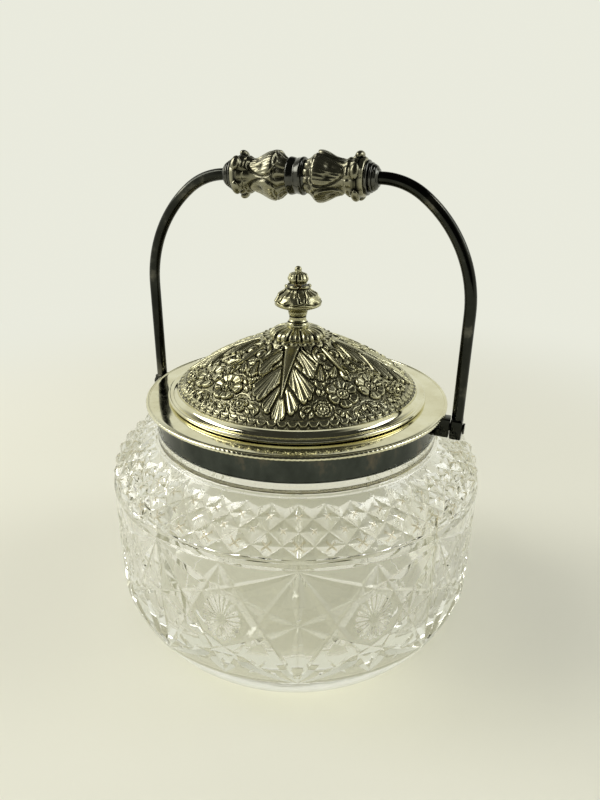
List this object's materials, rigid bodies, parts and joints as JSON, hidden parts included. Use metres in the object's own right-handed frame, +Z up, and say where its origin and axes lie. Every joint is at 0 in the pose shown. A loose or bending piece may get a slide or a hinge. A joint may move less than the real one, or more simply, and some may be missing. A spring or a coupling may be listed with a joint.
{
  "type": "biscuit jar",
  "caption": "Round cut-glass jar with a metal collar, a domed lift-off lid with a finial, and a swing handle with turned grips.",
  "frame": {"origin": "centre of the resting face under the glass jar", "axes": "+Z up through the finial, X along the handle's pivot axis, Y square to both"},
  "size_m": [0.159, 0.159, 0.2002],
  "materials": {
    "cut_glass": "polished",
    "plaster": "matte",
    "dark_plate": "tarnished polish",
    "gilt_plate": "worn polish",
    "cast_plate": "tarnished relief",
    "brass_fixing": "plain"
  },
  "bodies": {
    "jar": {"glass_jar": "cut_glass", "neck_cement": "plaster", "collar_band": "dark_plate", "collar_flange": "gilt_plate", "flange_edge_bead": "gilt_plate", "lug_left": "dark_plate", "lug_right": "dark_plate", "pivot_pins": "dark_plate"},
    "bail": {"bail_wire": "dark_plate", "foot_left": "dark_plate", "foot_right": "dark_plate", "ferrule_left": "cast_plate", "ferrule_right": "cast_plate", "grip_left": "cast_plate", "grip_right": "cast_plate", "grip_centre_ring": "cast_plate"},
    "lid": {"lid_dome": "gilt_plate", "lid_rim": "gilt_plate", "lid_bezel": "gilt_plate", "finial_plate": "gilt_plate", "finial_rosette": "gilt_plate", "finial_stem": "gilt_plate", "finial_cup": "gilt_plate", "finial_bead_ring": "gilt_plate", "finial_bud": "gilt_plate", "finial_stud": "brass_fixing", "finial_washer": "brass_fixing", "finial_nut": "brass_fixing"}
  },
  "joints": [
    {"name": "bail_swing", "type": "hinge", "parent": "jar", "child": "bail", "pos_m": [0, 0, 0.0982], "axis": [1, 0, 0], "range_deg": [-100, 100]},
    {"name": "lid_lift", "type": "slide", "parent": "jar", "child": "lid", "axis": [0, 0, 1], "range_m": [0, 0.02]}
  ]
}
